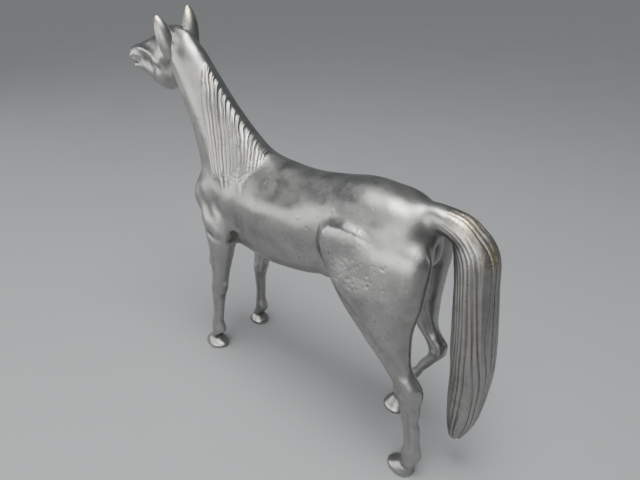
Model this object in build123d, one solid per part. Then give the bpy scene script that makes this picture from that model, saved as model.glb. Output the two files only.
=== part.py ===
from build123d import *
import math
import os

import numpy as np

# A bronze horse, cast in nine hollow or solid pieces that are joined with pinned spigots.
# The horse faces -Y, +X is its left side and +Z is up. The origin is on the floor under the middle
# of the statue's box. Millimetres. The tables use the horse's own measures, where "ahead" runs
# towards the head from the middle of the barrel.

wall = 4.0  # thickness of the hollow castings
flange = 8.0  # thickness of the closed ends where torso and neck meet
fit_gap = 0.05  # clearance of a spigot or a pin, all round
ring_points = 8  # points of each rib's outline
room = 900.0  # side of the blocks that cut the skin apart, larger than the horse
outside = 60.0  # a measure to the side that is beyond the horse everywhere

# Distances between the rings of a loft.
barrel_spacing = 14.0
neck_spacing = 12.0
head_spacing = 8.0
limb_spacing = 9.0
ear_spacing = 6.0

fore_joint_height = 121.0  # level cut where a foreleg meets the torso
hind_joint_height = 133.0  # the same for a hind leg
leg_spigot_radius = 5.5
leg_spigot_length = 11.0
pin_radius = 1.5
leg_pin_overlap = 2.0  # how far a leg pin reaches past the spigot, inwards
pin_sink = 0.8  # how far a pin's end is driven under the skin before chasing

neck_joint = (78.0, 192.0)  # middle of the neck joint: ahead, height
neck_lean = 59.0  # degrees of the neck's axis above level
neck_spigot_radius = 10.0
neck_spigot_length = 6.0
neck_spigot_root = 1.0  # how far the spigot runs into the neck, to be one with it
dowel_radius = 2.0
dowel_length = 10.0
dowel_offset = 20.0  # from the middle of the neck joint, towards the crest and the throat

cavity_rear = -88.0  # the torso's cavity ends here, ahead of the solid croup
cavity_front = 106.0  # and here, behind the solid breast

tail_spigot_radius = 4.0
tail_spigot_ends = (-110.0, -94.0)  # ahead: from inside the tail's root into the croup
tail_spigot_height = 203.0
tail_pin_reach = 8.9  # half the length of the tail's pin
tail_pin_depth = 5.0  # from the front end of the spigot to the middle of its pin

# Each row is one rib of the barrel: ahead, top, underside, half width.
barrel_ribs = [
    (-113, 196, 170, 8),
    (-104, 210, 160, 21),
    (-86, 218, 150, 30),
    (-60, 221, 142, 33),
    (-30, 216, 133, 32),
    (0, 213, 125, 33),
    (30, 215.5, 122, 33),
    (55, 219, 124, 31),
    (80, 216, 129, 29),
    (100, 203, 136, 26),
    (112, 191, 142, 22),
    (119, 179, 149, 13),
]

# Each row is one ring of the neck: crest (ahead, height), throat (ahead, height), half width.
neck_rings = [
    ((20, 212), (94, 140), 27),
    ((45, 222), (111, 163), 26),
    ((62, 236), (113, 187), 22),
    ((80, 254), (117, 212), 19),
    ((97, 274), (125, 238), 16.5),
    ((110, 291), (135, 255), 14.5),
    ((118, 298), (141, 262), 13),
]

# The same for the head, from behind the jaw to the lips.
head_rings = [
    ((116, 299), (133, 262), 11),
    ((126, 302), (143, 254), 12.5),
    ((140, 301), (154, 250), 12.5),
    ((154, 297), (166, 252), 10.5),
    ((169, 293), (177, 258), 9),
    ((183, 289), (187, 262), 8),
    ((195, 286), (196, 264), 8),
    ((203, 281), (201, 269), 6),
]

# Each row is one level cut through a leg: height, ahead, left, half length, half width.
foreleg_left_cuts = [
    (180, 80, 17, 20, 9),
    (150, 79, 23, 20, 11),
    (130, 79.5, 25, 14, 10.5),
    (110, 83, 25, 10.5, 9),
    (90, 87.5, 25, 8.5, 7.5),
    (76, 91.5, 25, 8.5, 7.5),
    (66, 94, 25, 7.3, 6),
    (45, 98, 25, 6.3, 4.8),
    (30, 101.5, 25, 7, 5.2),
    (22, 101.5, 25, 9, 6),
    (14, 106, 25, 5.5, 5.5),
    (9, 108, 25, 7, 7),
    (0, 110, 25, 9.5, 8.5),
]
foreleg_right_cuts = [
    (180, 80, -17, 20, 9),
    (150, 77, -23, 20, 11),
    (130, 77, -25, 15.5, 10.5),
    (110, 81, -26, 11, 9),
    (90, 84.5, -27, 8.5, 7.5),
    (76, 87.5, -27, 8, 7.5),
    (66, 89.5, -27, 6.5, 6),
    (45, 91.5, -28, 5.5, 5),
    (30, 93, -28, 6, 5.5),
    (22, 92.5, -28, 7.5, 6),
    (14, 97, -28, 6, 5.5),
    (9, 99, -28, 7, 7),
    (0, 101, -28, 9.5, 8.5),
]
hindleg_left_cuts = [
    (206, -72, 12, 26, 12),
    (180, -81.5, 20, 37.5, 16),
    (155, -80.5, 24, 37.5, 16),
    (135, -85, 26, 29.5, 13),
    (115, -96, 28, 18.5, 10),
    (98, -106.5, 29, 12, 8),
    (84, -116, 29, 12, 7),
    (72, -117.5, 29, 9.5, 6.5),
    (50, -122, 30, 6.5, 5.5),
    (30, -125, 31, 6.5, 5.5),
    (22, -125.5, 31, 8.3, 6.5),
    (13, -124, 31, 6.5, 6),
    (8, -121.5, 31, 8, 7),
    (0, -120.5, 31, 9.5, 8.5),
]
hindleg_right_cuts = [
    (206, -72, -12, 26, 12),
    (180, -80, -20, 34, 16),
    (155, -79, -24, 33, 16),
    (135, -86, -25, 24, 13),
    (123, -92, -25, 17, 11.5),
    (110, -97, -25, 12, 9.5),
    (100, -100.5, -25, 9.5, 8),
    (91, -106.5, -25, 9, 7),
    (82, -112, -25, 8.5, 6.5),
    (74, -111.5, -25, 6.5, 6),
    (66, -107.5, -25, 5.3, 5.5),
    (45, -96.5, -24, 4.8, 5),
    (32, -92, -24, 5, 5),
    (24, -90, -23, 6.8, 6.3),
    (14, -86, -22, 6, 6),
    (9, -84, -21, 7.5, 7),
    (0, -83, -20, 9.5, 8.5),
]

# The tail's root, as upright ribs like the barrel's, and its hanging part, as level cuts.
dock_ribs = [
    (-97, 216, 196.5, 9),
    (-107, 216.5, 197.5, 9.5),
    (-118, 215.5, 196.5, 10.5),
    (-130, 212.5, 190, 11.5),
    (-140, 205, 185, 10.5),
    (-147, 197, 186, 7),
]
tail_cuts = [
    (206, -130, 0, 9, 8),
    (199, -134, 0, 13, 11),
    (188, -137.5, 0, 14.5, 13),
    (172, -140, 0, 14, 14),
    (150, -142.8, 0, 14.4, 15),
    (120, -146, 0, 15, 16),
    (92, -148.3, 0, 13.8, 15.5),
    (65, -148.3, 0, 12, 14),
    (45, -147.3, 0, 9, 11),
    (31, -146, 0, 5, 7),
]

# Each row is one ring of the left ear: height, ahead, left, half length, half width.
ear_rings = [
    (285, 131, 8, 5, 4),
    (292, 131, 11, 6.5, 4),
    (299, 131.5, 13, 7, 3.5),
    (307, 133.5, 14.5, 4.8, 2.5),
    (315, 136, 15.5, 1.4, 1),
]

# Small plugs that close the holes of the casting core's supports: ahead, height, radius.
flank_plugs = {"front": (24, 189, 2.2), "rear": (-17, 190, 2.2)}
neck_plug = (97, 240, 1.8)
belly_plug = (24, 14, 4.5)  # ahead, left, radius of the hole that the core was cleared through
flank_plug_root = 24.0  # how far from the middle plane the plugs' inner ends may lie
neck_plug_root = 10.0
belly_plug_root = 150.0  # height inside the belly that its plug may reach


def place(ahead, left, height):
    # A point of the horse's own measures, before the statue is centred on its box.
    return Vector(left, -ahead, height)


def ring(centre, across, along):
    # A closed smooth outline round centre, through the ends of its half axes and points between.
    turns = [2 * math.pi * k / ring_points for k in range(ring_points)]
    points = [centre + across * math.cos(t) + along * math.sin(t) for t in turns]
    return make_face(Spline(*points, periodic=True))


def upright_ring(high, low, half_width):
    # A cut across the horse, from the point high on its upper line to the point low.
    top = place(high[0], 0, high[1])
    bottom = place(low[0], 0, low[1])
    return ring((top + bottom) / 2, Vector(half_width, 0, 0), (top - bottom) / 2)


def level_ring(height, ahead, left, half_length, half_width):
    # A level cut, as a saw through a leg would show it.
    return ring(place(ahead, left, height), Vector(half_width, 0, 0), Vector(0, half_length, 0))


def slopes(at, values):
    # Slopes for a curve through the values that never overshoots between two rows.
    steps = np.diff(at)
    rises = np.diff(values) / steps
    same_way = rises[:-1] * rises[1:] > 0
    before = np.where(same_way, rises[:-1], 1)
    after = np.where(same_way, rises[1:], 1)
    weight_before = 2 * steps[1:] + steps[:-1]
    weight_after = steps[1:] + 2 * steps[:-1]
    mean = (weight_before + weight_after) / (weight_before / before + weight_after / after)
    return np.concatenate([rises[:1], np.where(same_way, mean, 0), rises[-1:]])


def evened(rows, spacing):
    # The rows of a table, filled in so that rings stand evenly along the casting.
    flat = [np.concatenate([np.atleast_1d(cell) for cell in row]) for row in rows]
    table = np.array(flat, float)
    steps = np.linalg.norm(np.diff(table, axis=0), axis=1)
    travel = np.concatenate([[0], np.cumsum(steps)])
    wanted = np.linspace(0, travel[-1], max(4, round(travel[-1] / spacing)) + 1)
    span = np.clip(np.searchsorted(travel, wanted, side="right") - 1, 0, len(steps) - 1)
    width = steps[span]
    t = (wanted - travel[span]) / width
    columns = []
    for values in table.T:
        slope = slopes(travel, values)
        start = (1 + 2 * t) * (1 - t) ** 2 * values[span] + t * (1 - t) ** 2 * width * slope[span]
        end = t**2 * (3 - 2 * t) * values[span + 1] + t**2 * (t - 1) * width * slope[span + 1]
        columns.append(start + end)
    return [[float(cell) for cell in row] for row in np.array(columns).T]


def ribbed(ribs, spacing, inset=0.0):
    # A loft of upright ribs, drawn in by inset for a cavity and ended before it gets narrow.
    rings = [
        upright_ring((ahead, top - inset), (ahead, low + inset), half - inset)
        for ahead, top, low, half in evened(ribs, spacing)
        if half > 3 * inset
    ]
    return loft(rings)


def sagittal(rows, spacing, inset=0.0):
    # A loft of rings across the middle plane, drawn in by inset for a cavity.
    rings = []
    for a, b, c, d, half in evened(rows, spacing):
        deep = Vector(c - a, d - b).normalized() * inset
        rings.append(upright_ring((a + deep.X, b + deep.Y), (c - deep.X, d - deep.Y), half - inset))
    return loft(rings)


def stacked(cuts, spacing=limb_spacing):
    # A loft of level cuts, for a leg, an ear or the hanging tail.
    return loft([level_ring(*row) for row in evened(cuts, spacing)])


def mirrored(rows):
    # The rows of a table of level cuts, for the horse's other side.
    return [(height, ahead, -left, length, width) for height, ahead, left, length, width in rows]


def upright_rod(ahead, left, low, radius, length):
    return Pos(*place(ahead, left, low)) * extrude(Circle(radius), length)


def cross_rod(ahead, height, inner, outer, radius):
    # A rod across the horse, from the left measure inner to outer.
    start = Plane(origin=place(ahead, inner, height), z_dir=(math.copysign(1, outer - inner), 0, 0))
    return start * extrude(Circle(radius), abs(outer - inner))


def cut_centre(cuts, height):
    # The middle of a leg at one height: ahead and left.
    rows = sorted(cuts)
    heights = [row[0] for row in rows]
    ahead = float(np.interp(height, heights, [row[1] for row in rows]))
    left = float(np.interp(height, heights, [row[2] for row in rows]))
    return ahead, left


def only(shape):
    # The largest solid of a boolean's result.
    return max(shape.solids(), key=lambda solid: solid.volume)


lean = math.radians(neck_lean)
neck_plane = Plane(
    origin=place(neck_joint[0], 0, neck_joint[1]),
    x_dir=(1, 0, 0),
    z_dir=(0, -math.cos(lean), math.sin(lean)),
)


def ahead_of_neck_joint(offset):
    # Everything on the head's side of the neck joint, moved along the neck by offset.
    return neck_plane * Pos(0, 0, offset) * extrude(Rectangle(room, room), room)


def behind_neck_joint(offset):
    return neck_plane * Pos(0, 0, -offset) * extrude(Rectangle(room, room), -room)


def neck_rod(towards_crest, start, radius, length):
    # A rod square to the neck joint, from start along the neck.
    return neck_plane * Pos(0, towards_crest, start) * extrude(Circle(radius), length)


nodes = {}

# The whole horse as one skin, before it is cut into castings.
legs = {
    "foreleg_left": (foreleg_left_cuts, fore_joint_height),
    "foreleg_right": (foreleg_right_cuts, fore_joint_height),
    "hindleg_left": (hindleg_left_cuts, hind_joint_height),
    "hindleg_right": (hindleg_right_cuts, hind_joint_height),
}
skin = ribbed(barrel_ribs, barrel_spacing)
skin += sagittal(neck_rings, neck_spacing) + sagittal(head_rings, head_spacing)

# Legs: solid castings with a round spigot that is pinned across inside the torso.
sockets = []
for name, (cuts, joint_height) in legs.items():
    whole = stacked(cuts)
    level = Pos(0, 0, joint_height)
    skin += only(whole & (level * extrude(Rectangle(room, room), room)))
    lower = only(whole & (level * extrude(Rectangle(room, room), -room)))
    ahead, left = cut_centre(cuts, joint_height)
    spigot = upright_rod(ahead, left, joint_height, leg_spigot_radius, leg_spigot_length)
    socket = upright_rod(
        ahead, left, joint_height, leg_spigot_radius + fit_gap, leg_spigot_length + fit_gap
    )
    side = math.copysign(1, left)
    pin_height = joint_height + leg_spigot_length / 2
    inner = left - side * (leg_spigot_radius + leg_pin_overlap)
    hole_start = inner - side * pin_sink
    hole = cross_rod(ahead, pin_height, hole_start, side * outside, pin_radius + fit_gap)
    pin = cross_rod(ahead, pin_height, inner, side * outside, pin_radius) & whole
    nodes[f"{name}_pin"] = Pos(-side * pin_sink, 0, 0) * only(pin)
    nodes[name] = only(lower + spigot - hole)
    sockets += [socket, hole]

# Torso: hollow, with closed ends, the shoulders and haunches cast on.
torso = only(skin & behind_neck_joint(0))
solid_croup = Pos(0, room / 2 - cavity_rear, room / 2) * Box(room, room, room)
solid_breast = Pos(0, -room / 2 - cavity_front, room / 2) * Box(room, room, room)
barrel_hollow = ribbed(barrel_ribs, barrel_spacing, wall) - solid_croup - solid_breast
hollow = only(barrel_hollow & behind_neck_joint(flange))
neck = only(skin & ahead_of_neck_joint(0))
neck_hollow = only(sagittal(neck_rings[:-1], neck_spacing, wall) & ahead_of_neck_joint(flange))
torso = torso - hollow - sockets
neck = neck - neck_hollow

# The neck's spigot and two dowels hold it square on the torso.
socket_depth = neck_spigot_length + fit_gap
torso -= neck_rod(0, -socket_depth, neck_spigot_radius + fit_gap, 2 * socket_depth)
neck += neck_rod(0, -neck_spigot_length, neck_spigot_radius, neck_spigot_length + neck_spigot_root)
for name, offset in (("upper", dowel_offset), ("lower", -dowel_offset)):
    dowel = neck_rod(offset, -dowel_length / 2, dowel_radius, dowel_length)
    bore = neck_rod(offset, -dowel_length / 2, dowel_radius + fit_gap, dowel_length)
    torso -= bore
    neck -= bore
    nodes[f"neck_dowel_{name}"] = dowel

# Tail: solid, its root shaped to the croup, with a round spigot let into it and a pin across.
def croup_rod(radius, rear, front):
    # A level rod along the horse at the tail spigot's height.
    start = Plane(origin=place(rear, 0, tail_spigot_height), z_dir=(0, -1, 0))
    return start * extrude(Circle(radius), front - rear)


rear, front = tail_spigot_ends
tail = only(ribbed(dock_ribs, limb_spacing) + stacked(tail_cuts) - torso)
tail_pin_ahead = front - tail_pin_depth
bore_reach = tail_pin_reach + 2 * fit_gap
tail_bore = cross_rod(tail_pin_ahead, tail_spigot_height, -bore_reach, bore_reach, pin_radius + fit_gap)
tail_pin = cross_rod(tail_pin_ahead, tail_spigot_height, -tail_pin_reach, tail_pin_reach, pin_radius)
nodes["tail_pin"] = tail_pin
nodes["tail"] = only(tail + croup_rod(tail_spigot_radius, rear, front) - tail_bore)
torso = torso - croup_rod(tail_spigot_radius + fit_gap, rear, front + fit_gap) - tail_bore

# Ears: thin solid castings, shaped at the foot to the head that they are brazed on.
for name, rows in (("ear_left", ear_rings), ("ear_right", mirrored(ear_rings))):
    nodes[name] = only(stacked(rows, ear_spacing) - neck)

# Plugs that close the holes left by the core and its supports.
for side, sign in (("left", 1), ("right", -1)):
    for where, (ahead, height, radius) in flank_plugs.items():
        rod = only(cross_rod(ahead, height, sign * flank_plug_root, sign * outside, radius) & torso)
        torso -= cross_rod(ahead, height, sign * flank_plug_root, sign * outside, radius)
        nodes[f"core_plug_{side}_{where}"] = rod
    ahead, height, radius = neck_plug
    rod = only(cross_rod(ahead, height, sign * neck_plug_root, sign * outside, radius) & neck)
    neck -= cross_rod(ahead, height, sign * neck_plug_root, sign * outside, radius)
    nodes[f"core_plug_{side}_neck"] = rod
ahead, left, radius = belly_plug
rod = upright_rod(ahead, left, 0, radius, belly_plug_root)
nodes["belly_plug"] = only(rod & torso)
torso -= rod

nodes["torso"] = only(torso)
nodes["neck_and_head"] = only(neck)

# Every node is moved so that the origin lies under the middle of the statue's box.
boxes = [solid.bounding_box() for solid in nodes.values()]
middle_x = (min(box.min.X for box in boxes) + max(box.max.X for box in boxes)) / 2
middle_y = (min(box.min.Y for box in boxes) + max(box.max.Y for box in boxes)) / 2
os.makedirs("parts", exist_ok=True)
for name, solid in nodes.items():
    export_step(Pos(-middle_x, -middle_y, 0) * solid, f"parts/{name}.step")
print("middle of the box: ahead", round(-middle_y, 3), "left", round(middle_x, 3))
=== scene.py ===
import math

import bmesh
import bpy
import numpy as np
from mathutils import Matrix, Vector, noise
from mathutils.bvhtree import BVHTree


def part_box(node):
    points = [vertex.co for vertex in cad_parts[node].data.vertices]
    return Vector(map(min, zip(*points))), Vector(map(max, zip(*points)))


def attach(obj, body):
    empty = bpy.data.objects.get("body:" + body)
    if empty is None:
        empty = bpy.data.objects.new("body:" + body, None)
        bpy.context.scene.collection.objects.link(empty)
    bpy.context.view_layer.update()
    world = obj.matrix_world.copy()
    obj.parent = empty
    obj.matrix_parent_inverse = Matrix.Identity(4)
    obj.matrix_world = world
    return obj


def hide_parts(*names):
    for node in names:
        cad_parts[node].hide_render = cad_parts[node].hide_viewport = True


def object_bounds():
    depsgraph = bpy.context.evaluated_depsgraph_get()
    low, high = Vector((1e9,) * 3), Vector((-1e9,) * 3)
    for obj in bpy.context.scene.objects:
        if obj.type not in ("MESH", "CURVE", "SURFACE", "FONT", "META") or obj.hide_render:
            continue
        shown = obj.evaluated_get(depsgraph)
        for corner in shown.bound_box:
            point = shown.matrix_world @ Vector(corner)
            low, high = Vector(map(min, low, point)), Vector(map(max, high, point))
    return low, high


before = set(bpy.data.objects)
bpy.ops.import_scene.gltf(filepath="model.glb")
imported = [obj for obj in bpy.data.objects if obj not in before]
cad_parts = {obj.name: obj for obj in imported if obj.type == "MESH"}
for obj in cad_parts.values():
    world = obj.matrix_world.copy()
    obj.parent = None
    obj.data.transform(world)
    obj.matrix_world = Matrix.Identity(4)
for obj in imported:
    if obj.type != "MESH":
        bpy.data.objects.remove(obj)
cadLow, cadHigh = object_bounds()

# A bronze horse on a grey studio floor. The castings of the frame are joined into one lump of clay,
# the muscles and the hair are modelled over it with strokes, and it is cut apart at the casting joints.

print("frame loaded,", len(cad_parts), "nodes")

horse = {
    "height": 315.0,  # to the ear tips, in the horse's own millimetres
    "barrelBehind": 20.4,  # the barrel's middle lies this far behind the middle of the box
    "spineRight": 0.9,  # and the spine this far to the right of it
    "foreJoint": 121.0,  # heights where the legs are joined on
    "hindJoint": 133.0,
    "neckJoint": (78.0, 0.0, 192.0),
    "neckLean": 59.0,  # degrees of the neck above level
    "tailJoint": -117.0,
}
unit = (cadHigh[2] - cadLow[2]) / horse["height"]


def spot(ahead, left, up):
    # a place in the horse's own measures: ahead of the barrel's middle, to its left, above the floor
    return Vector((left - horse["spineRight"], horse["barrelBehind"] - ahead, up)) * unit


def addObject(name, data):
    obj = bpy.data.objects.new(name, data)
    bpy.context.scene.collection.objects.link(obj)
    return obj


def meshFrom(shape, name):
    mesh = bpy.data.meshes.new(name)
    shape.to_mesh(mesh)
    shape.free()
    return mesh


# camera

camera = {"from": (-219.2, 252.7, 346.0), "towards": (95.1, -132.9, 56.1), "lens": 26.78, "roll": -0.72}


def addCamera():
    data = bpy.data.cameras.new("camera")
    data.lens = camera["lens"]
    data.sensor_width = 36
    data.clip_start = 0.01
    obj = addObject("camera", data)
    place = spot(*camera["from"])
    look = spot(*camera["towards"]) - place
    turn = look.to_track_quat("-Z", "Y").to_matrix().to_4x4()
    roll = Matrix.Rotation(math.radians(camera["roll"]), 4, "Z")
    obj.matrix_world = Matrix.Translation(place) @ turn @ roll
    bpy.context.scene.camera = obj


addCamera()


# reading and writing a mesh in the horse's own measures

def ownPoints(mesh):
    flat = np.empty(len(mesh.vertices) * 3)
    mesh.vertices.foreach_get("co", flat)
    x, y, z = flat.reshape(-1, 3).T / unit
    return np.stack([horse["barrelBehind"] - y, x + horse["spineRight"], z], 1)


def ownNormals(mesh):
    flat = np.empty(len(mesh.vertices) * 3)
    mesh.vertex_normals.foreach_get("vector", flat)
    x, y, z = flat.reshape(-1, 3).T
    return np.stack([-y, x, z], 1)


def putPoints(mesh, own):
    ahead, left, up = own.T
    places = np.stack([left - horse["spineRight"], horse["barrelBehind"] - ahead, up], 1) * unit
    mesh.vertices.foreach_set("co", places.ravel())
    mesh.update()


def edgePairs(mesh):
    pairs = np.empty(len(mesh.edges) * 2, np.int32)
    mesh.edges.foreach_get("vertices", pairs)
    return pairs.reshape(-1, 2).T


def neighbourMean(values, pairs):
    one, other = pairs
    count = np.bincount(pairs.ravel(), minlength=len(values))
    total = np.stack(
        [
            np.bincount(one, column[other], len(values)) + np.bincount(other, column[one], len(values))
            for column in values.T
        ],
        1,
    )
    return total / np.maximum(count, 1)[:, None]


def smoothed(own, pairs, weight, rounds):
    for _ in range(rounds):
        own = own + (neighbourMean(own, pairs) - own) * weight[:, None]
    return own


def ramp(values, low, high):
    # 0 at low, 1 at high, with soft ends
    t = np.clip((values - low) / (high - low), 0, 1)
    return t * t * (3 - 2 * t)


def unevenness(own, size, seed):
    # soft random relief between -1 and 1, with lumps of about that size
    shift = Vector((seed, seed * 0.37, -seed * 0.71))
    return np.array([noise.noise(Vector(p) / size + shift) for p in own])


# clay

clay = {
    "voxel": 1.0,
    "trunkRounds": 45,  # rounds of smoothing, to melt the creases between the frame's lofts
    "limbRounds": 9,
    "haunchRounds": 40,
    "weight": 0.5,  # of each round
    "weld": 0.00001,  # metres
    "plugSpread": 1.4,
    "trunkAbove": (112, 140),  # where the trunk's smoothing sets in, and what it spares
    "neckAhead": (112, 122),
    "neckAbove": (225, 245),
    "tailBehind": (118, 126),
    "tailSpared": 0.7,
}


def joinedNodes():
    shape = bmesh.new()
    for name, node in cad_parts.items():
        if not name.startswith("ear"):
            before = set(shape.verts)
            shape.from_mesh(node.data)
            if "plug" in name:  # a little too thick, so that the clay has no gap round it
                low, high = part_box(name)
                spread = clay["plugSpread"]
                thicker = (spread, spread, 1) if name == "belly_plug" else (1, spread, spread)
                added = [v for v in shape.verts if v not in before]
                back = Matrix.Translation(-(low + high) / 2)
                bmesh.ops.scale(shape, vec=thicker, space=back, verts=added)
    bmesh.ops.remove_doubles(shape, verts=shape.verts, dist=clay["weld"])
    return addObject("clay", meshFrom(shape, "clay"))


def remeshed(obj, voxel):
    modifier = obj.modifiers.new("voxels", "REMESH")
    modifier.mode = "VOXEL"
    modifier.voxel_size = voxel
    graph = bpy.context.evaluated_depsgraph_get()
    mesh = bpy.data.meshes.new_from_object(obj.evaluated_get(graph))
    bpy.data.objects.remove(obj)
    return mesh


def islandOf(start):
    seen = {start}
    edge = [start]
    while edge:
        vert = edge.pop()
        for link in vert.link_edges:
            other = link.other_vert(vert)
            if other not in seen:
                seen.add(other)
                edge.append(other)
    return seen


def keepOuterSkin(mesh):
    # what is joined to the lowest point stays, so the castings' hollows drop out
    shape = bmesh.new()
    shape.from_mesh(mesh)
    outer = islandOf(min(shape.verts, key=lambda v: v.co.z))
    bmesh.ops.delete(shape, geom=[v for v in shape.verts if v not in outer], context="VERTS")
    shape.to_mesh(mesh)
    shape.free()


def meltCreases(mesh):
    own = ownPoints(mesh)
    pairs = edgePairs(mesh)
    ahead, _, up = own.T
    neck = ramp(ahead, *clay["neckAhead"]) * ramp(up, *clay["neckAbove"])
    trunk = ramp(up, *clay["trunkAbove"]) * (1 - neck)
    trunk *= 1 - ramp(-ahead, *clay["tailBehind"]) * clay["tailSpared"]
    own = smoothed(own, pairs, trunk * clay["weight"], clay["trunkRounds"])
    own = smoothed(own, pairs, np.full(len(own), clay["weight"]), clay["limbRounds"])
    putPoints(mesh, own)


lump = remeshed(joinedNodes(), clay["voxel"] * unit)
keepOuterSkin(lump)
meltCreases(lump)
print("clay has", len(lump.vertices), "points")


# strokes: each is the reach of the tool, how far it lifts or presses, and a path of places

brush = {
    "longStroke": 2.5,  # a stroke longer than this many reaches is lifted towards both ends
    "endPressure": 0.3,  # and presses this much there
}


def strokeOver(own, normals, path, reach, lift):
    corners = np.array(path, float)
    near = np.all((own > corners.min(0) - reach) & (own < corners.max(0) + reach), 1)
    if not near.any():
        return
    points = own[near]
    runs = np.linalg.norm(np.diff(corners, axis=0), axis=1)
    away = np.full(len(points), np.inf)
    travel = np.zeros(len(points))
    for start, end, before, length in zip(corners[:-1], corners[1:], np.cumsum(runs) - runs, runs):
        run = end - start
        along = np.clip((points - start) @ run / max(run @ run, 1e-9), 0, 1)
        gap = np.linalg.norm(points - start - along[:, None] * run, axis=1)
        travel = np.where(gap < away, before + along * length, travel)
        away = np.minimum(away, gap)
    fall = np.clip(1 - (away / reach) ** 2, 0, 1) ** 2
    ends = np.minimum(travel, runs.sum() - travel)
    if runs.sum() > brush["longStroke"] * reach:
        fall *= brush["endPressure"] + (1 - brush["endPressure"]) * ramp(ends, 0, reach)
    own[near] = points + normals[near] * (fall * lift)[:, None]


def modelOver(mesh, strokes, mirror=True):
    own = ownPoints(mesh)
    normals = ownNormals(mesh)
    for reach, lift, *path in strokes:
        if len(path) == 1:
            path = path * 2
        strokeOver(own, normals, path, reach, lift)
        if mirror and any(left for _, left, _ in path):
            strokeOver(own, normals, [(a, -b, c) for a, b, c in path], reach, lift)
    putPoints(mesh, own)


# the thigh's muscle, a plate with a clear edge in front and on top that fades out behind and below
thigh = {
    "edge": (
        (-37, 180), (-39, 191), (-46, 198), (-59, 200.5), (-72, 199), (-84, 195), (-93, 186), (-97, 168),
        (-95, 148), (-90, 128), (-78, 128), (-68, 143), (-56, 153), (-45, 158), (-38.5, 167),
    ),
    "lift": 3.5,
    "bevel": (-1.5, 6),
    "fadesBehind": (70, 92),
    "fadesBelow": (126, 150),
    "fadesInside": (10, 18),
}


def raisePlate(mesh):
    own = ownPoints(mesh)
    flat = own[:, [0, 2]]
    edge = np.array(thigh["edge"], float)
    away = np.full(len(own), np.inf)
    inside = np.zeros(len(own), bool)
    for start, end in zip(edge, np.roll(edge, -1, 0)):
        run = end - start
        along = np.clip((flat - start) @ run / (run @ run), 0, 1)
        away = np.minimum(away, np.linalg.norm(flat - start - along[:, None] * run, axis=1))
        crosses = (start[1] > flat[:, 1]) != (end[1] > flat[:, 1])
        reach = start[0] + (flat[:, 1] - start[1]) / (end[1] - start[1] + 1e-9) * run[0]
        inside ^= crosses & (flat[:, 0] < reach)
    rise = ramp(np.where(inside, away, -away), *thigh["bevel"])
    fade = (1 - ramp(-own[:, 0], *thigh["fadesBehind"])) * ramp(own[:, 2], *thigh["fadesBelow"])
    rise *= fade * ramp(np.abs(own[:, 1]), *thigh["fadesInside"])
    putPoints(mesh, own + ownNormals(mesh) * (rise * thigh["lift"])[:, None])


trunkStrokes = [
    # shoulder: blade, its rear edge, upper arm, elbow
    (11, 1.8, (52, 28, 198), (57, 31, 182), (68, 30, 164)),
    (10, -1.5, (34, 22, 208), (41, 31, 190), (49, 32, 168), (54, 31, 150)),
    (14, 1.6, (66, 31, 160), (70, 32, 150)),
    (7, -2.2, (60, 27, 147), (63, 27, 139)),
    (11, 1.8, (106, 22, 170)),
    # breast: folds, lower edge and the furrow down the middle
    (13, 2.2, (100, 20, 160), (86, 29, 154)),
    (6, -1.3, (92, 31, 147), (80, 34, 143), (66, 34, 142)),
    (4, 1.2, (97, 26, 186), (86, 30, 174), (73, 31, 163)),
    (4.5, -0.8, (99, 25, 177), (88, 30, 167), (78, 31, 158)),
    (4.5, 0.8, (104, 22, 170), (92, 28, 158)),
    (4.5, -0.6, (84, 29, 186), (74, 31, 177), (66, 30, 166)),
    (7, -2.2, (121, 0, 180), (119, 0, 160), (112, 0, 144)),
    # barrel: long muscle behind the shoulder, the hollow over it, loins and belly
    (12, 1.1, (38, 32, 186), (16, 33, 188), (-12, 31, 191)),
    (11, -0.8, (28, 25, 203), (0, 24, 202), (-24, 24, 205)),
    (6, -0.7, (36, 0, 218), (-20, 0, 216), (-70, 0, 222)),
    (11, -0.8, (40, 20, 134), (10, 22, 133), (-24, 24, 142)),
    # flank and stifle
    (20, -1.2, (-22, 31, 186), (-22, 32, 172)),
    (8, -1.5, (-38, 18, 215), (-38, 27, 205), (-35, 31, 193), (-33, 33, 178), (-37, 32, 161), (-48, 30, 150)),
    (10, 2.0, (-46, 24, 148), (-36, 18, 141)),
    # thigh, haunch and buttock
    (17, 1.2, (-56, 33, 186), (-72, 35, 182)),
    (17, 1.2, (-58, 36, 166), (-68, 38, 156)),
    (7, -0.9, (-50, 26, 207), (-66, 26, 207), (-82, 24, 202)),
    (14, -0.8, (-90, 31, 190), (-94, 35, 172), (-92, 38, 152)),
    (14, 1.2, (-86, 12, 214), (-97, 14, 204)),
    (13, 1.0, (-110, 27, 186), (-110, 31, 165)),
    (8, -2.0, (-114, 0, 192), (-112, 0, 176), (-104, 0, 150)),
    # neck: windpipe furrow, its edge muscle and the dip behind the jaw
    (10, -1.3, (131, 11, 258), (118, 17, 228), (109, 21, 198)),
    (8, 0.6, (125, 14, 262), (112, 19, 228), (102, 24, 196)),
    (6, 0.9, (138, 4, 250), (124, 5, 222), (118, 6, 194)),
]

ribs = {
    "count": 6, "first": 24, "apart": 8.5, "reach": 5, "lift": 0.4,
    "arc": ((4, 31, 188), (0, 34, 170), (-4, 31, 150)),
}
for rib in range(ribs["count"]):
    ahead = ribs["first"] - ribs["apart"] * rib
    path = [(ahead + slant, left, up) for slant, left, up in ribs["arc"]]
    trunkStrokes.append((ribs["reach"], ribs["lift"], *path))

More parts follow.
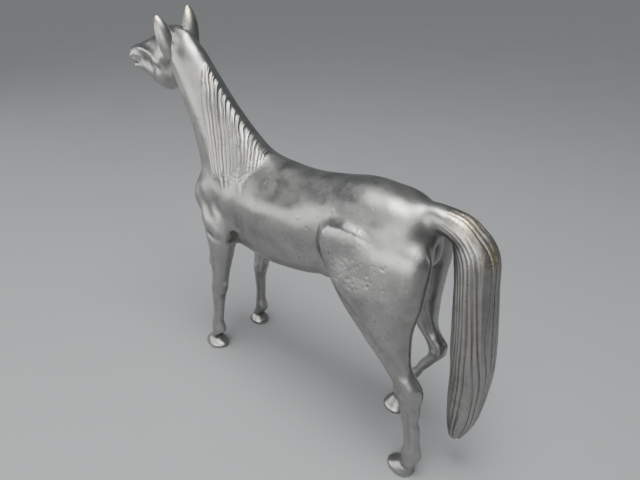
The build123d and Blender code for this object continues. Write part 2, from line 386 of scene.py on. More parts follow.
headStrokes = [
    # poll, ear roots and forelock
    (15, 3.0, (146, 0, 300), (135, 0, 302)),
    (9, 2.4, (131, 9, 292), (128, 8, 290)),
    # jowl and the dip between jaw and neck
    (14, 1.8, (152, 11, 265)),
    (8, -1.1, (134, 13, 284), (138, 13, 274), (141, 12, 265), (147, 9, 256)),
    (7, -1.8, (168, 0, 252), (182, 0, 257)),
    # cheek bone: a ridge with a hollow under it
    (4.4, 2.0, (186, 7, 284), (175, 9, 284), (165, 11, 283), (155, 13, 280), (146, 13, 272)),
    (7, -1.9, (182, 9, 276), (171, 10, 275), (160, 11, 271)),
    # eye, lids and brow
    (5, -0.8, (166, 10, 287)),
    (3, 1.5, (166, 9.5, 287.5)),
    (3, 1.0, (173, 7.5, 290), (167, 9, 291.5), (160, 10, 291)),
    (6, -1.0, (155, 9, 295)),
    # nose, nostril, lips and chin
    (6, -0.9, (184, 0, 290), (194, 0, 287)),
    (4, 0.8, (172, 0, 294), (160, 0, 298)),
    (5, 1.2, (198, 6, 278)),
    (2.8, -2.0, (200, 6, 277.5), (197.5, 7, 279)),
    (2.4, -1.6, (204, 0, 270.5), (201, 5, 270), (194, 7, 269.5), (188, 7.5, 270)),
    (3.6, 0.9, (201, 3, 267), (196, 5, 265)),
    (4, 1.4, (193, 0, 262)),
    (5.5, -0.8, (192, 8, 275), (186, 8.5, 272)),
]

# the middle of each leg from the floor up: height, ahead, left
legAxis = {
    "foreleg_left": ((0, 110, 25), (22, 102, 25), (66, 94, 25), (90, 88, 25), (130, 80, 25)),
    "foreleg_right": ((0, 101, -28), (22, 93, -28), (66, 89.5, -27), (90, 84.5, -27), (130, 79.5, -25)),
    "hindleg_left": ((0, -120.5, 31), (22, -125.5, 31), (72, -117.5, 29), (98, -106.5, 29), (133, -84, 26)),
    "hindleg_right": (
        (0, -83, -20), (24, -90, -23), (45, -96.5, -24), (66, -107.5, -25),
        (82, -112, -25), (100, -100.5, -25), (133, -87, -25),
    ),
}

# reach, lift, then places as: back from the leg's middle, outwards, height
cannonStrokes = [
    (3.4, -0.8, (1.5, 6, 68), (1.5, 6, 30)),
    (3.4, -0.8, (1.5, -6, 68), (1.5, -6, 30)),
    (4.5, 1.0, (7, 0, 22)),
    (4, 0.6, (-6, 0, 24)),
    (2.6, -0.7, (-7, 0, 10.5), (0, 7.5, 10.5), (6.5, 0, 10.5), (0, -7.5, 10.5), (-7, 0, 10.5)),
    (3.4, -1.2, (9, 0, 2), (5, 0, 6)),
]
foreStrokes = cannonStrokes + [
    (6, 1.2, (-8, 0, 81)),
    (4.5, 0.9, (-2, 7.5, 81)),
    (4.5, 0.9, (-2, -7.5, 81)),
    (4.5, 1.8, (8, 0, 87)),
    (6, -0.9, (7, 0, 70)),
    (3.4, -0.6, (-7, 0, 74), (-4, 6, 73)),
    (9, 1.4, (-8, 5, 112)),
    (6, -1.1, (0, 10, 124), (0, 9, 96)),
    (6, -0.9, (0, -9, 124), (0, -9, 96)),
]
hindStrokes = cannonStrokes + [
    (5, 1.6, (11, 0, 87)),
    (7, -1.6, (2, 9, 120), (4, 7.5, 106), (6, 6.5, 92)),
    (7, -1.6, (2, -9, 120), (4, -7.5, 106), (6, -6.5, 92)),
    (5, 1.0, (-6, 3, 80)),
    (4.5, 1.0, (0, -7, 79)),
    (4.5, 0.8, (0, 7, 79)),
    (5, -1.0, (-8, 0, 71)),
    (9, 1.2, (-8, 5, 118)),
]


def legStrokes(name, strokes):
    heights, aheads, lefts = np.array(legAxis[name]).T
    outwards = 1 if lefts[0] > 0 else -1
    placed = []
    for reach, lift, *path in strokes:
        places = []
        for back, out, up in path:
            ahead = np.interp(up, heights, aheads) - back
            left = np.interp(up, heights, lefts) + out * outwards
            places.append((ahead, left, up))
        placed.append((reach, lift, *places))
    return placed


flesh = {
    "above": (150, 180),
    "neckAhead": (60, 100),
    "neckAbove": (225, 250),
    "beforeTail": (-112, -96),
    "weight": 0.5,
    "lightWeight": 0.4,
    "lightRounds": 2,
    "lastRounds": 2,
}


def blendStrokes(mesh, rounds):
    # broad smooth flesh on the haunch, back and shoulder, and a light touch everywhere
    own = ownPoints(mesh)
    ahead, _, up = own.T
    neck = ramp(ahead, *flesh["neckAhead"]) * ramp(up, *flesh["neckAbove"])
    broad = ramp(up, *flesh["above"]) * (1 - neck) * ramp(ahead, *flesh["beforeTail"])
    pairs = edgePairs(mesh)
    own = smoothed(own, pairs, broad * flesh["weight"], rounds)
    light = np.full(len(own), flesh["lightWeight"])
    putPoints(mesh, smoothed(own, pairs, light, flesh["lightRounds"]))


modelOver(lump, trunkStrokes)
blendStrokes(lump, clay["haunchRounds"])
raisePlate(lump)
modelOver(lump, headStrokes)
for leg in legAxis:
    modelOver(lump, legStrokes(leg, foreStrokes if leg.startswith("fore") else hindStrokes), mirror=False)
blendStrokes(lump, flesh["lastRounds"])
print("muscles modelled")

# cutting apart at the casting joints

joint = {
    "merge": 1e-7,  # metres
    "foreAhead": -0.04,  # the fore cuts are made where y is below this, in metres
    "hindBehind": 0.06,  # and the hind cuts where y is above this
    "hindUpTo": -115,  # as far back as this, in the horse's own measures
    "legReach": 4,
    "neckAbove": 155,
    "tailAbove": 175,
    "tailReach": 6,
    "tailHalfWidth": 16,
}
island = {"tailAbove": 95, "neckAbove": 200, "neckAhead": 60, "legBelow": 110}


def cutSkin(shape, place, normal, keep):
    faces = [f for f in shape.faces if keep(f.calc_center_median())]
    edges = {e for f in faces for e in f.edges}
    verts = {v for f in faces for v in f.verts}
    cut = bmesh.ops.bisect_plane(
        shape, geom=faces + list(edges) + list(verts), dist=joint["merge"], plane_co=place, plane_no=normal
    )
    seam = [e for e in cut["geom_cut"] if isinstance(e, bmesh.types.BMEdge)]
    bmesh.ops.split_edges(shape, edges=seam)


def castingOf(middle):
    # which casting an island is, from the middle of its points
    ahead = horse["barrelBehind"] - middle.y / unit
    up = middle.z / unit
    if ahead < horse["tailJoint"] and up > island["tailAbove"]:
        return "tail"
    if up > island["neckAbove"] and ahead > island["neckAhead"]:
        return "neck_and_head"
    if up < island["legBelow"]:
        return ("foreleg" if ahead > 0 else "hindleg") + ("_left" if middle.x > 0 else "_right")
    return "torso"


def separateCastings(mesh):
    shape = bmesh.new()
    shape.from_mesh(mesh)
    up = Vector((0, 0, 1))
    fore = spot(0, 0, horse["foreJoint"])
    legReach = joint["legReach"] * unit
    cutSkin(shape, fore, up, lambda c: abs(c.z - fore.z) < legReach and c.y < joint["foreAhead"])
    hind = spot(0, 0, horse["hindJoint"])
    hindEnd = spot(joint["hindUpTo"], 0, 0).y
    cutSkin(
        shape, hind, up,
        lambda c: abs(c.z - hind.z) < legReach and joint["hindBehind"] < c.y < hindEnd,
    )
    lean = math.radians(horse["neckLean"])
    neckFoot = spot(0, 0, joint["neckAbove"]).z
    cutSkin(
        shape, spot(*horse["neckJoint"]), Vector((0, -math.cos(lean), math.sin(lean))),
        lambda c: c.y < 0 and c.z > neckFoot,
    )
    root = spot(horse["tailJoint"], 0, 0)
    tailFoot = spot(0, 0, joint["tailAbove"]).z
    tailReach, tailHalf = joint["tailReach"] * unit, joint["tailHalfWidth"] * unit
    cutSkin(
        shape, root, Vector((0, 1, 0)),
        lambda c: abs(c.y - root.y) < tailReach and c.z > tailFoot and abs(c.x) < tailHalf,
    )
    left = set(shape.verts)
    castings = {}
    while left:
        verts = islandOf(next(iter(left)))
        left -= verts
        middle = sum((v.co for v in verts), Vector()) / len(verts)
        piece = shape.copy()
        shape.verts.index_update()
        keep = {v.index for v in verts}
        piece.verts.ensure_lookup_table()
        bmesh.ops.delete(piece, geom=[v for v in piece.verts if v.index not in keep], context="VERTS")
        name = castingOf(middle)
        print("   ", name, len(verts), "points")
        castings[name] = piece
    shape.free()
    return castings


def closeCuts(shape):
    rim = [e for e in shape.edges if e.is_boundary]
    for edge in rim:
        edge.smooth = False
    caps = bmesh.ops.holes_fill(shape, edges=rim, sides=0)["faces"]
    bmesh.ops.triangulate(shape, faces=caps)
    bmesh.ops.recalc_face_normals(shape, faces=shape.faces)


castings = separateCastings(lump)
print("cut into", len(castings), "castings")

# hair

drawn = 64  # random values, one for each lock, used round and round

mane = {
    "front": 77.0,  # ahead, where the first and the last strand cross the height of 200
    "rear": 29.0,
    "lean": 0.3,  # how far a strand runs ahead for each step up
    "pitch": 3.1,  # from one lock to the next
    "sweep": 8.0,  # and how far it starts ahead of that at the crest
    "tips": 194.0,
    "ragged": 4.5,
    "body": 1.1,  # how far the mass of hair stands off the neck
    "ridge": 0.8,
    "fine": 0.28,
    "level": 200,  # the height at which strands are numbered
    "deepest": 80,  # below the crest
    "sweepEnds": 9,
    "wave": 0.7,
    "waveSize": 7,
    "waveSeed": 3,
    "lockSeed": 11,
    "cutUp": 14,  # how much shorter the mane is at its lower rear corner
    "crest": ((33, 217), (45, 222), (62, 236), (80, 254), (97, 274), (104, 283)),
}


def combMane(own, normals):
    ahead, left, up = own.T
    alongCrest, crestHeight = np.array(mane["crest"], float).T
    below = np.clip(np.interp(ahead, alongCrest, crestHeight) - up, 0, mane["deepest"])
    strand = ahead - mane["lean"] * (up - mane["level"])
    combed = strand - mane["sweep"] * np.exp(-below / mane["sweepEnds"]) + 0.5 * np.sin(up / 13 + ahead / 15)
    combed += mane["wave"] * unevenness(own * np.array([1, 1, 0.35]), mane["waveSize"], mane["waveSeed"])
    across = combed / mane["pitch"]
    number = np.floor(across).astype(int)
    draw = np.random.default_rng(mane["lockSeed"]).uniform(-1, 1, drawn)[number % drawn]
    t = across - number
    lock = np.sin(math.pi * t)
    fine = np.sin(2 * math.pi * (across * 2.3 + draw)) * 0.5 + 0.5
    point = np.abs(2 * t - 1) ** 1.5  # each lock ends in a point
    tip = mane["tips"] + draw * mane["ragged"] + 5 * point - 3 * np.sin((strand - 31) / 46 * math.pi)
    rear = mane["rear"] + mane["cutUp"] * ramp(216 - up, 0, 20)
    cover = ramp(mane["front"] + 1 + 0.8 * draw - strand, 0, 2) * ramp(strand - rear, -1, 3)
    cover *= ramp(up - tip, -3, 8) * ramp(left, -4, 1)
    relief = mane["body"] * (0.3 + 0.7 * ramp(below, 0, 12)) * (0.3 + 0.7 * ramp(strand - rear, 0, 14))
    relief += mane["ridge"] * lock * (1 + 0.35 * draw)
    relief += mane["fine"] * fine + 0.2 * draw
    return own + normals * (cover * relief)[:, None], cover


tailHair = {
    "middle": (
        (-100, 205), (-112, 205), (-122, 203), (-131, 197), (-137, 188), (-140, 172), (-142.8, 150),
        (-146, 120), (-148.3, 92), (-148.3, 65), (-147.3, 45), (-146, 24),
    ),
    "locks": 22,
    "ridge": 1.05,
    "fine": 0.28,
    "sway": 0.1,
    "swaySize": 18,
    "swaySeed": 5,
    "lockSeed": 23,
}


def rounded(path, rounds=3):
    # the path with its corners cut off again and again
    for _ in range(rounds):
        before, after = path[:-1], path[1:]
        inner = np.stack([before * 0.75 + after * 0.25, before * 0.25 + after * 0.75], 1).reshape(-1, 2)
        path = np.concatenate([path[:1], inner, path[-1:]])
    return path


def combTail(own, normals):
    ahead, left, up = own.T
    middle = rounded(np.array(tailHair["middle"], float))
    flat = np.stack([ahead, up], 1)
    best = np.full(len(own), np.inf)
    side = np.zeros(len(own))
    along = np.zeros(len(own))
    travelled = 0.0
    for start, end in zip(middle[:-1], middle[1:]):
        run = end - start
        length = np.linalg.norm(run)
        t = np.clip((flat - start) @ run / length**2, 0, 1)
        away = np.linalg.norm(flat - start - t[:, None] * run, axis=1)
        outer = (flat - start) @ np.array([run[1], -run[0]]) / length
        nearer = away < best
        best = np.where(nearer, away, best)
        side = np.where(nearer, outer, side)
        along = np.where(nearer, travelled + t * length, along)
        travelled += length
    angle = np.arctan2(left, -side)
    bunch = 0.11 * np.sin(3 * angle + 1 + along / 60) + 0.05 * np.sin(7 * angle - along / 45)
    drift = unevenness(own * np.array([1, 1, 0.5]), tailHair["swaySize"], tailHair["swaySeed"])
    sway = 0.12 * np.sin(along / 27 + 2 * np.cos(angle)) + tailHair["sway"] * drift
    across = ((angle + bunch + sway) / (2 * math.pi) + 0.5) * tailHair["locks"]
    number = np.floor(across).astype(int)
    draw = np.random.default_rng(tailHair["lockSeed"]).uniform(-1, 1, drawn)[number % drawn]
    t = across - number
    lock = np.sin(math.pi * t) ** 0.75
    fine = np.sin(2 * math.pi * (across * 2.4 + draw + along / 80)) * 0.5 + 0.5
    cover = 0.2 * ramp(along, 8, 20) + 0.8 * ramp(along + 12 * side / 10, 26, 62)
    cover *= 1 - 0.4 * ramp(along, travelled - 14, travelled)
    relief = tailHair["ridge"] * (lock - 0.6) * (1 + 0.35 * draw)
    relief = relief + tailHair["fine"] * (fine - 0.5) + 0.25 * draw
    return own + normals * (cover * relief)[:, None], cover


def refined(mesh, keep):
    # a second set of loops among the faces that keep() picks, for finer strands
    shape = bmesh.new()
    shape.from_mesh(mesh)
    edges = {e for f in shape.faces if len(f.verts) == 4 and keep(f.calc_center_median()) for e in f.edges}
    bmesh.ops.subdivide_edges(shape, edges=list(edges), cuts=1, use_grid_fill=True)
    shape.to_mesh(mesh)
    shape.free()


def inMane(c):
    ahead = horse["barrelBehind"] - c.y / unit
    up = c.z / unit
    strand = ahead - mane["lean"] * (up - mane["level"])
    return 22 < strand < 81 and up > 184 and c.x / unit > -7


def setAttribute(mesh, name, values):
    layer = mesh.attributes.new(name, "FLOAT", "POINT")
    layer.data.foreach_set("value", np.asarray(values, np.float32))


# bare metal shows where hands and dusters rub: place, reach, strength
rubbedSpots = [
    ((-132, 5, 213), 15, 0.9),
    ((-150, 6, 196), 13, 0.7),
    ((21, 20, 130), 6, 1.0),
    ((12, 22, 131), 4, 0.7),
    ((92, 8, 270), 10, 0.35),
    ((205, 0, 278), 7, 0.3),
    ((-104, 20, 208), 9, 0.35),
]
pitted = {
    "middle": (-68, 37, 165),
    "reach": 34,
    "count": 150,
    "deep": 0.3,
    "spread": 0.45,
    "sizes": (0.7, 1.3),
    "outside": 25,
    "seed": 5,
}
skin = {
    "lumps": 0.15,
    "lumpSize": 14,
    "lumpSeed": 1,
    "dimples": 0.04,
    "dimpleSize": 5,
    "dimpleSeed": 2,
    "hairSpared": 0.7,
    "nearBend": 0.07,  # millimetres of bend that count as fully proud
    "wideBend": 0.7,
    "wideRounds": 12,
    "spreadRounds": 2,
    "hairRounds": 2,
    "hairWeight": 0.5,
}


def surfaceFinish(mesh, hair):
    # the caster's uneven skin, then where it stands proud, and the hollows, which get painted shade along
    # with grime and rust
    own = ownPoints(mesh)
    normals = ownNormals(mesh)
    lumps = skin["lumps"] * unevenness(own, skin["lumpSize"], skin["lumpSeed"])
    lumps = lumps + skin["dimples"] * unevenness(own, skin["dimpleSize"], skin["dimpleSeed"])
    own = own + normals * (lumps * (1 - skin["hairSpared"] * hair))[:, None]
    draw = np.random.default_rng(pitted["seed"])
    middle = np.array(pitted["middle"], float)
    for _ in range(pitted["count"]):
        place = middle + draw.normal(0, pitted["spread"], 3) * pitted["reach"]
        reach = draw.uniform(*pitted["sizes"])
        gap = np.linalg.norm((own - place)[:, [0, 2]], axis=1)
        near = (gap < reach) & (own[:, 1] > pitted["outside"])
        own[near] -= normals[near] * ((1 - (gap[near] / reach) ** 2) * pitted["deep"])[:, None]
    putPoints(mesh, own)
    pairs = edgePairs(mesh)
    normals = ownNormals(mesh)
    near = np.einsum("ij,ij->i", own - neighbourMean(own, pairs), normals)
    broad = smoothed(own, pairs, np.full(len(own), 1.0), skin["wideRounds"])
    wide = np.einsum("ij,ij->i", own - broad, normals)
    bend = near[:, None] / skin["nearBend"] + wide[:, None] / skin["wideBend"]
    for _ in range(skin["spreadRounds"]):
        bend = neighbourMean(bend, pairs)
    setAttribute(mesh, "proud", np.clip(bend[:, 0], 0, 1))
    # hollows: painted shade in their colour, and also grime, rust and rougher metal
    setAttribute(mesh, "creaseShadeAndGrime", np.clip(-bend[:, 0], 0, 1))
    setAttribute(mesh, "hair", hair)
    rubbed = np.zeros(len(own))
    for place, reach, strength in rubbedSpots:
        gap = np.linalg.norm(own - np.array(place, float), axis=1)
        rubbed = np.maximum(rubbed, strength * np.clip(1 - (gap / reach) ** 2, 0, 1))
    setAttribute(mesh, "rubbed", rubbed)


def shadeSmooth(mesh):
    mesh.polygons.foreach_set("use_smooth", np.ones(len(mesh.polygons), bool))


def finishCasting(name, shape):
    mesh = meshFrom(shape, name)
    hair = np.zeros(len(mesh.vertices))
    if name in ("neck_and_head", "tail"):
        refined(mesh, inMane if name == "neck_and_head" else lambda c: True)
        weight = np.full(len(mesh.vertices), skin["hairWeight"])
        own = smoothed(ownPoints(mesh), edgePairs(mesh), weight, skin["hairRounds"])
        putPoints(mesh, own)
        comb = combMane if name == "neck_and_head" else combTail
        own, hair = comb(own, ownNormals(mesh))
        putPoints(mesh, own)
    if name == "torso":
        own, hair = combMane(ownPoints(mesh), ownNormals(mesh))
        putPoints(mesh, own)
    surfaceFinish(mesh, hair)
    closed = bmesh.new()
    closed.from_mesh(mesh)
    closeCuts(closed)
    closed.to_mesh(mesh)
    closed.free()
    shadeSmooth(mesh)
    piece = addObject(name + "_casting", mesh)
    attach(piece, "root")
    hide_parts(name)
    return piece


pieces = {name: finishCasting(name, shape) for name, shape in castings.items()}
print("hair combed, skin finished")

# ears: a leaf curled into a tube at its root, that opens ahead and inwards

ears = {
    "ear_left": {"root": (130, 9.5, 280), "tip": (137, 15, 311.5), "side": 1, "opens": (0.9, -0.4)},
    "ear_right": {"root": (129, -9, 282), "tip": (136, -15.5, 317), "side": -1, "opens": (0.95, 0.3)},
    "wide": 10.5,  # half the leaf's breadth at its root, laid flat
    "wall": 1.3,
    "rootCurl": 112,
    "tipCurl": 40,
    "bow": 1.8,
    "columns": 18,
    "rows": 24,
    "rubbedUp": (303, 314),
    "proudUp": (300, 315),
    # painted shadow at the ear's root: darker below the lower height, fading out by the upper
    "rootShadeDown": (-296, -286),
}


def addEar(name):
    root, tip = Vector(ears[name]["root"]), Vector(ears[name]["tip"])
    side = ears[name]["side"]
    axis = tip - root
    ahead, outwards = ears[name]["opens"]  # the way the hollow of the leaf looks
    opening = Vector((ahead, outwards * side, 0))
    opening = (opening - opening.project(axis)).normalized()
    across = axis.normalized().cross(opening)
    shape = bmesh.new()
    bmesh.ops.create_grid(shape, x_segments=ears["columns"], y_segments=ears["rows"], size=1)
    for vert in shape.verts:
        turn, rise = vert.co.x, (vert.co.y + 1) / 2
        half = ears["wide"] * (0.9 + rise) * (1.001 - rise) ** 0.9 + 0.2
        curl = math.radians(ears["rootCurl"] + (ears["tipCurl"] - ears["rootCurl"]) * rise)
        radius = half / curl
        place = root + axis * rise - opening * (ears["bow"] * math.sin(math.pi * rise) + radius * 0.6)
        place += across * radius * math.sin(curl * turn) + opening * radius * (1 - math.cos(curl * turn))
        vert.co = spot(*place)
    bmesh.ops.recalc_face_normals(shape, faces=shape.faces)
    bmesh.ops.solidify(shape, geom=shape.faces[:], thickness=ears["wall"] * unit)
    bmesh.ops.recalc_face_normals(shape, faces=shape.faces)
    mesh = meshFrom(shape, name)
    piece = addObject(name + "_casting", mesh)
    modifier = piece.modifiers.new("rounding", "SUBSURF")
    modifier.levels = modifier.render_levels = 1
    shadeSmooth(mesh)
    up = ownPoints(mesh)[:, 2]
    setAttribute(mesh, "rubbed", ramp(up, *ears["rubbedUp"]))
    setAttribute(mesh, "proud", ramp(up, *ears["proudUp"]) * 0.6)
    # painted shadow at the ear's root, darker towards the bottom
    setAttribute(mesh, "creaseShadeAndGrime", ramp(-up, *ears["rootShadeDown"]) * 0.4)
    setAttribute(mesh, "hair", np.zeros(len(up)))
    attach(piece, "root")
    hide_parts(name)
    return piece


pieces["ear_left"] = addEar("ear_left")
pieces["ear_right"] = addEar("ear_right")
print("ears curled")

# core plugs: small discs that follow the skin they were chased into

plug = {
    "segments": 28,
    "rings": 3,
    "sunk": 1.6,
    "proud": 0.06,
    "bevel": 0.25,
    "bevelLoops": 2,
    "castFrom": 0.03,  # metres outside the skin
    # the plug gets a little of the hollows' painted shade and grime, evenly
    "layers": {"rubbed": 0.25, "proud": 0.3, "creaseShadeAndGrime": 0.1, "hair": 0.0},
}


def addPlug(node):
    low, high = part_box(node)
    middle = (low + high) / 2
    host = pieces["neck_and_head" if "neck" in node else "torso"]
    faces = [p.vertices[:] for p in host.data.polygons]
    tree = BVHTree.FromPolygons([v.co for v in host.data.vertices], faces)
    if node == "belly_plug":
        away, radius = Vector((0, 0, -1)), (high.x - low.x) / 2
    else:
        away, radius = Vector((math.copysign(1, middle.x), 0, 0)), (high.z - low.z) / 2
    turn = away.to_track_quat("Z", "Y").to_matrix().to_4x4()
    shape = bmesh.new()
    bmesh.ops.create_circle(shape, cap_ends=True, segments=plug["segments"], radius=radius)
    for _ in range(plug["rings"]):
        faces = [f for f in shape.faces if len(f.verts) > 4]
        bmesh.ops.inset_region(shape, faces=faces, thickness=radius / (plug["rings"] + 1.5))
    bmesh.ops.transform(shape, matrix=Matrix.Translation(middle) @ turn, verts=shape.verts)
    for vert in shape.verts:
        hit = tree.ray_cast(vert.co + away * plug["castFrom"], -away)[0]
        if hit is not None:
            vert.co = hit + away * plug["proud"] * unit
    rim = [e for e in shape.edges if e.is_boundary]
    wall = bmesh.ops.extrude_edge_only(shape, edges=rim)["geom"]
    bmesh.ops.translate(
        shape, verts=[v for v in wall if isinstance(v, bmesh.types.BMVert)], vec=-away * plug["sunk"] * unit
    )
    bmesh.ops.holes_fill(shape, edges=[e for e in shape.edges if e.is_boundary], sides=0)
    bmesh.ops.recalc_face_normals(shape, faces=shape.faces)
    bmesh.ops.bevel(
        shape, geom=rim, offset=plug["bevel"] * unit, affect="EDGES", segments=plug["bevelLoops"],
        profile=0.5, material=-1,
    )
    mesh = meshFrom(shape, node)
    shadeSmooth(mesh)
    piece = addObject(node + "_cap", mesh)
    count = len(mesh.vertices)
    for layer, value in plug["layers"].items():
        setAttribute(mesh, layer, np.full(count, value))
    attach(piece, "root")
    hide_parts(node)
    return piece


plugs = [addPlug(node) for node in sorted(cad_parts) if "plug" in node]
print("plugs set:", len(plugs))

# finishes

patina = {
    "deep": (0.030, 0.029, 0.026, 1),
    "middle": (0.215, 0.213, 0.20, 1),
    "pale": (0.39, 0.39, 0.38, 1),
    "olive": (0.15, 0.145, 0.095, 1),
    "rust": (0.17, 0.115, 0.085, 1),
    "bare": (0.72, 0.56, 0.34, 1),
    "roughness": 0.38,
}
noises = {  # scale, detail, roughness
    "clouds": (22, 4),
    "blotches": (75, 5, 0.6),
    "grain": (900, 3, 0.7),
    "specks": (420, 2, 0.5),
    "scratches": (1400, 1, 0.4),
    "pits": (520, 2, 0.4),
    "rod": (180, 4),
    "rodLines": (2500, 2),
    "mottle": (6, 3),
}
rod = {"bright": (0.55, 0.36, 0.18, 1), "dull": (0.4, 0.27, 0.15, 1)}


class Nodes:
    # a shorthand for adding and joining the nodes of one material
    def __init__(self, name):
        self.material = bpy.data.materials.new(name)
        self.material.use_nodes = True
        self.tree = self.material.node_tree
        self.shader = self.tree.nodes["Principled BSDF"]

    def add(self, kind, **settings):
        node = self.tree.nodes.new("ShaderNode" + kind)
        for key, value in settings.items():
            setattr(node, key, value)
        return node

    def put(self, socket, value):
        if isinstance(value, bpy.types.NodeSocket):
            self.tree.links.new(value, socket)
        else:
            socket.default_value = value

    def coordinates(self):
        return self.add("TexCoord").outputs["Object"]

    def noise(self, place, scale, detail=3.0, roughness=0.55):
        node = self.add("TexNoise")
        self.put(node.inputs["Vector"], place)
        node.inputs["Scale"].default_value = scale
        node.inputs["Detail"].default_value = detail
        node.inputs["Roughness"].default_value = roughness
        return node.outputs["Fac"]

    def attribute(self, name):
        return self.add("Attribute", attribute_name=name).outputs["Fac"]

    def math(self, operation, one, two=0.0, clamp=False):
        node = self.add("Math", operation=operation, use_clamp=clamp)
        self.put(node.inputs[0], one)
        self.put(node.inputs[1], two)
        return node.outputs[0]

    def range(self, value, low, high, start=0.0, end=1.0):
        node = self.add("MapRange", interpolation_type="SMOOTHSTEP")
        self.put(node.inputs["Value"], value)
        node.inputs["From Min"].default_value = low
        node.inputs["From Max"].default_value = high
        node.inputs["To Min"].default_value = start
        node.inputs["To Max"].default_value = end
        return node.outputs["Result"]

    def mix(self, factor, one, two):
        node = self.add("Mix", data_type="RGBA")
        self.put(node.inputs["Factor"], factor)
        self.put(node.inputs[6], one)
        self.put(node.inputs[7], two)
        return node.outputs[2]

    def bump(self, height, strength, distance, normal=None):
        node = self.add("Bump")
        node.inputs["Strength"].default_value = strength
        node.inputs["Distance"].default_value = distance
        self.put(node.inputs["Height"], height)
        if normal is not None:
            self.put(node.inputs["Normal"], normal)
        return node.outputs["Normal"]


def patinatedBronze(name, paler=0.0):
    nodes = Nodes(name)
    place = nodes.coordinates()
    clouds = nodes.noise(place, *noises["clouds"])
    blotches = nodes.noise(place, *noises["blotches"])
    grain = nodes.noise(place, *noises["grain"])
    specks = nodes.noise(place, *noises["specks"])
    proud = nodes.attribute("proud")
    creaseShadeAndGrime = nodes.attribute("creaseShadeAndGrime")
    rubbed = nodes.attribute("rubbed")
    tone = nodes.math("ADD", nodes.math("MULTIPLY", clouds, 0.6), nodes.math("MULTIPLY", blotches, 0.5))
    colour = nodes.mix(nodes.range(tone, 0.3, 0.84), patina["middle"], patina["pale"])
    colour = nodes.mix(nodes.range(blotches, 0.52, 0.78, 0, 0.5), colour, patina["olive"])
    cloudy = nodes.range(clouds, 0.45, 0.65, 0.05, 0.35)
    grimy = nodes.math("MULTIPLY", nodes.range(specks, 0.56, 0.7), cloudy)
    colour = nodes.mix(grimy, colour, patina["deep"])
    colour = nodes.mix(nodes.math("MULTIPLY", proud, 0.55 + paler, clamp=True), colour, patina["pale"])
    # painted shade: the hollows darken almost to black, tinted towards rust in the hair's grooves, along with
    # grime
    creaseShade = nodes.math("MULTIPLY", creaseShadeAndGrime, nodes.range(clouds, 0.3, 0.7, 0.65, 1.0))
    creaseShadeColour = nodes.mix(nodes.math("MULTIPLY", nodes.attribute("hair"), 0.6), patina["deep"], patina["rust"])
    colour = nodes.mix(nodes.range(creaseShade, 0.1, 1.0, 0, 0.75), colour, creaseShadeColour)
    rusty = nodes.math("MULTIPLY", nodes.range(creaseShadeAndGrime, 0.15, 0.6), nodes.range(blotches, 0.46, 0.6, 0, 0.25))
    colour = nodes.mix(rusty, colour, patina["rust"])
    worn = nodes.math("MULTIPLY", rubbed, nodes.range(specks, 0.42, 0.56), clamp=True)
    colour = nodes.mix(nodes.math("MULTIPLY", worn, 0.7), colour, patina["bare"])
    nodes.put(nodes.shader.inputs["Base Color"], colour)
    nodes.shader.inputs["Metallic"].default_value = 1.0
    uneven = nodes.math("MULTIPLY", nodes.math("SUBTRACT", blotches, 0.5), 0.3)
    rough = nodes.math("ADD", patina["roughness"], uneven)
    rough = nodes.math("ADD", rough, nodes.math("MULTIPLY", creaseShadeAndGrime, 0.22))
    rough = nodes.math("SUBTRACT", rough, nodes.math("MULTIPLY", proud, 0.08), clamp=True)
    nodes.put(nodes.shader.inputs["Roughness"], rough)
    normal = nodes.bump(grain, 0.12, 0.0003)
    scratchPlace = nodes.add("Mapping")
    nodes.put(scratchPlace.inputs["Vector"], place)
    scratchPlace.inputs["Scale"].default_value = (1, 0.12, 0.5)
    scratchPlace.inputs["Rotation"].default_value = (0.5, 0.2, 0.4)
    scratches = nodes.noise(scratchPlace.outputs["Vector"], *noises["scratches"])
    normal = nodes.bump(nodes.range(scratches, 0.62, 0.7, 0, -1), 0.12, 0.0002, normal)
    pits = nodes.noise(place, *noises["pits"])
    normal = nodes.bump(nodes.range(pits, 0.66, 0.76, 0, -1), 0.22, 0.0004, normal)
    nodes.put(nodes.shader.inputs["Normal"], normal)
    return nodes.material


def drawnBronze():
    nodes = Nodes("drawn bronze rod")
    place = nodes.coordinates()
    blotches = nodes.noise(place, *noises["rod"])
    colour = nodes.mix(blotches, rod["bright"], rod["dull"])
    nodes.put(nodes.shader.inputs["Base Color"], colour)
    nodes.shader.inputs["Metallic"].default_value = 1.0
    nodes.put(nodes.shader.inputs["Roughness"], nodes.range(blotches, 0.3, 0.7, 0.3, 0.5))
    lines = nodes.add("Mapping")
    nodes.put(lines.inputs["Vector"], place)
    lines.inputs["Scale"].default_value = (0.05, 1, 1)
    grooves = nodes.noise(lines.outputs["Vector"], *noises["rodLines"])
    nodes.put(nodes.shader.inputs["Normal"], nodes.bump(grooves, 0.2, 0.0002))
    return nodes.material


skinBronze = patinatedBronze("patinated bronze")
plugBronze = patinatedBronze("plug bronze", 0.2)
rodBronze = drawnBronze()
for piece in pieces.values():
    piece.data.materials.append(skinBronze)
for piece in plugs:
    piece.data.materials.append(plugBronze)
for name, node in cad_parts.items():
    if "pin" in name or "dowel" in name:
        node.data.materials.clear()
        node.data.materials.append(rodBronze)
print("finishes mixed")

# studio

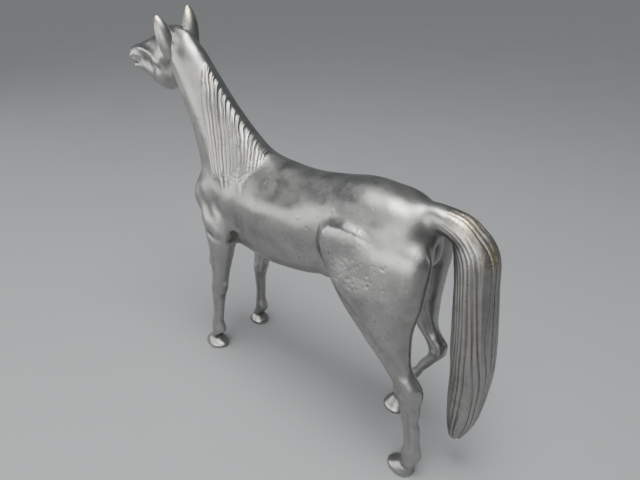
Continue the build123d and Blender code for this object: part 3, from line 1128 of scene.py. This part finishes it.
studio = {
    "floor": (0.31, 0.315, 0.32, 1),
    "floorReach": 40,
    "sky": (0.60, 0.64, 0.68, 1),
    "skyStrength": 0.3,
    "shade": 0.93,
    "floorRoughness": 0.85,
    "floorGloss": 0.15,
    "sunStrength": 1.4,
    "sunSpread": 70,  # degrees
    "sunTowards": (-0.25, -0.2, -1),
}
softboxes = (  # name, place, what it looks at, size in metres, power
    ("window", (930, 820, 350), (60, 0, 190), (1.5, 0.8), 10),
    ("side", (-250, 1100, 520), (0, 0, 170), (1.0, 0.8), 10),
    ("overhead", (-90, 90, 950), (-60, 0, 190), (0.45, 0.4), 8),
)


def addSoftbox(name, place, aim, size, power):
    data = bpy.data.lights.new(name, "AREA")
    data.shape = "RECTANGLE"
    data.size, data.size_y = size
    data.energy = power
    obj = addObject(name, data)
    turn = (spot(*aim) - spot(*place)).to_track_quat("-Z", "Y").to_matrix().to_4x4()
    obj.matrix_world = Matrix.Translation(spot(*place)) @ turn


def addStudio():
    shape = bmesh.new()
    bmesh.ops.create_grid(shape, x_segments=1, y_segments=1, size=studio["floorReach"])
    floor = addObject("floor", meshFrom(shape, "floor"))
    nodes = Nodes("studio floor")
    mottle = nodes.noise(nodes.coordinates(), *noises["mottle"])
    pale = studio["floor"]
    shade = tuple(c * studio["shade"] for c in pale[:3]) + (1,)
    nodes.put(nodes.shader.inputs["Base Color"], nodes.mix(mottle, shade, pale))
    nodes.shader.inputs["Roughness"].default_value = studio["floorRoughness"]
    nodes.shader.inputs["Specular IOR Level"].default_value = studio["floorGloss"]
    floor.data.materials.append(nodes.material)
    world = bpy.data.worlds.new("studio air")
    world.use_nodes = True
    world.node_tree.nodes["Background"].inputs["Color"].default_value = studio["sky"]
    world.node_tree.nodes["Background"].inputs["Strength"].default_value = studio["skyStrength"]
    bpy.context.scene.world = world
    for softbox in softboxes:
        addSoftbox(*softbox)
    data = bpy.data.lights.new("soft ceiling", "SUN")
    data.energy = studio["sunStrength"]
    data.angle = math.radians(studio["sunSpread"])
    ceiling = addObject("soft ceiling", data)
    towards = Vector(studio["sunTowards"])
    ceiling.matrix_world = towards.to_track_quat("-Z", "Y").to_matrix().to_4x4()


addStudio()
